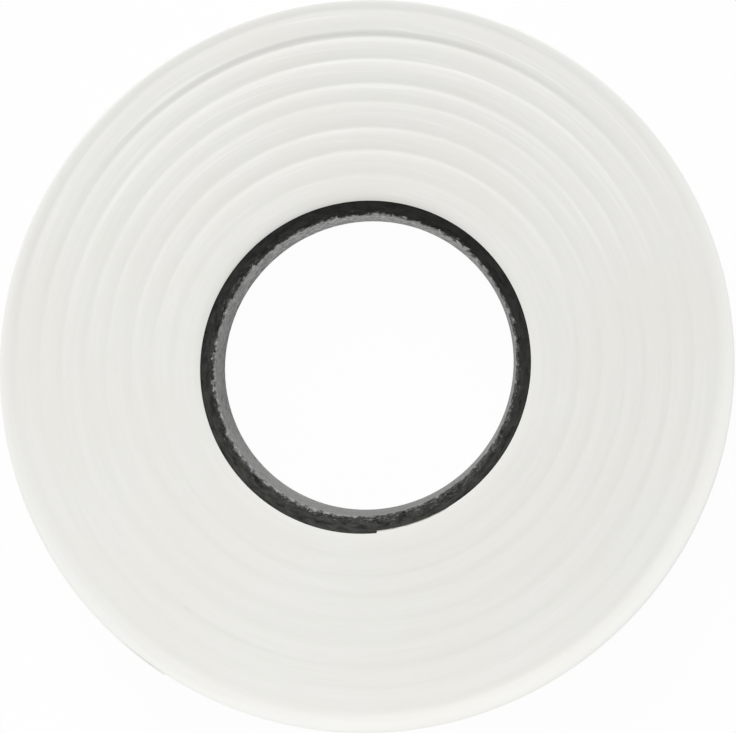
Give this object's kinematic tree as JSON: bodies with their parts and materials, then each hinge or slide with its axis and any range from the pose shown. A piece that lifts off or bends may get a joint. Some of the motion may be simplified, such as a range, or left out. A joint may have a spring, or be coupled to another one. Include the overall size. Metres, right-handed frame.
{
  "type": "tying tape roll",
  "caption": "Narrow roll of white plastic tying tape, wound flat on an open paper core, with a free end that lifts off the rim to start a length.",
  "frame": {"origin": "on the roll's axis, in the plane that the roll lies on", "axes": "+Z along the roll's axis, upwards; +X to the right and +Y to the top of the picture"},
  "size_m": [0.0777, 0.0773, 0.011],
  "materials": {
    "white_film": "satin",
    "liner_paper": "matte",
    "core_board": "matte",
    "cover_paper": "matte",
    "sticky_tape": "satin"
  },
  "bodies": {
    "roll": {"core_liner": "liner_paper", "core_inner_board": "core_board", "core_outer_board": "core_board", "core_cover": "cover_paper", "core_tack_strip": "sticky_tape", "tape_winding": "white_film"},
    "free_end": {"tape_free_end": "white_film"}
  },
  "joints": [
    {"name": "free_end_lift", "type": "hinge", "parent": "roll", "child": "free_end", "pos_m": [-0.03735, -0.01166, 0.0055], "axis": [0, 0, -1], "range_deg": [0, 120]}
  ]
}
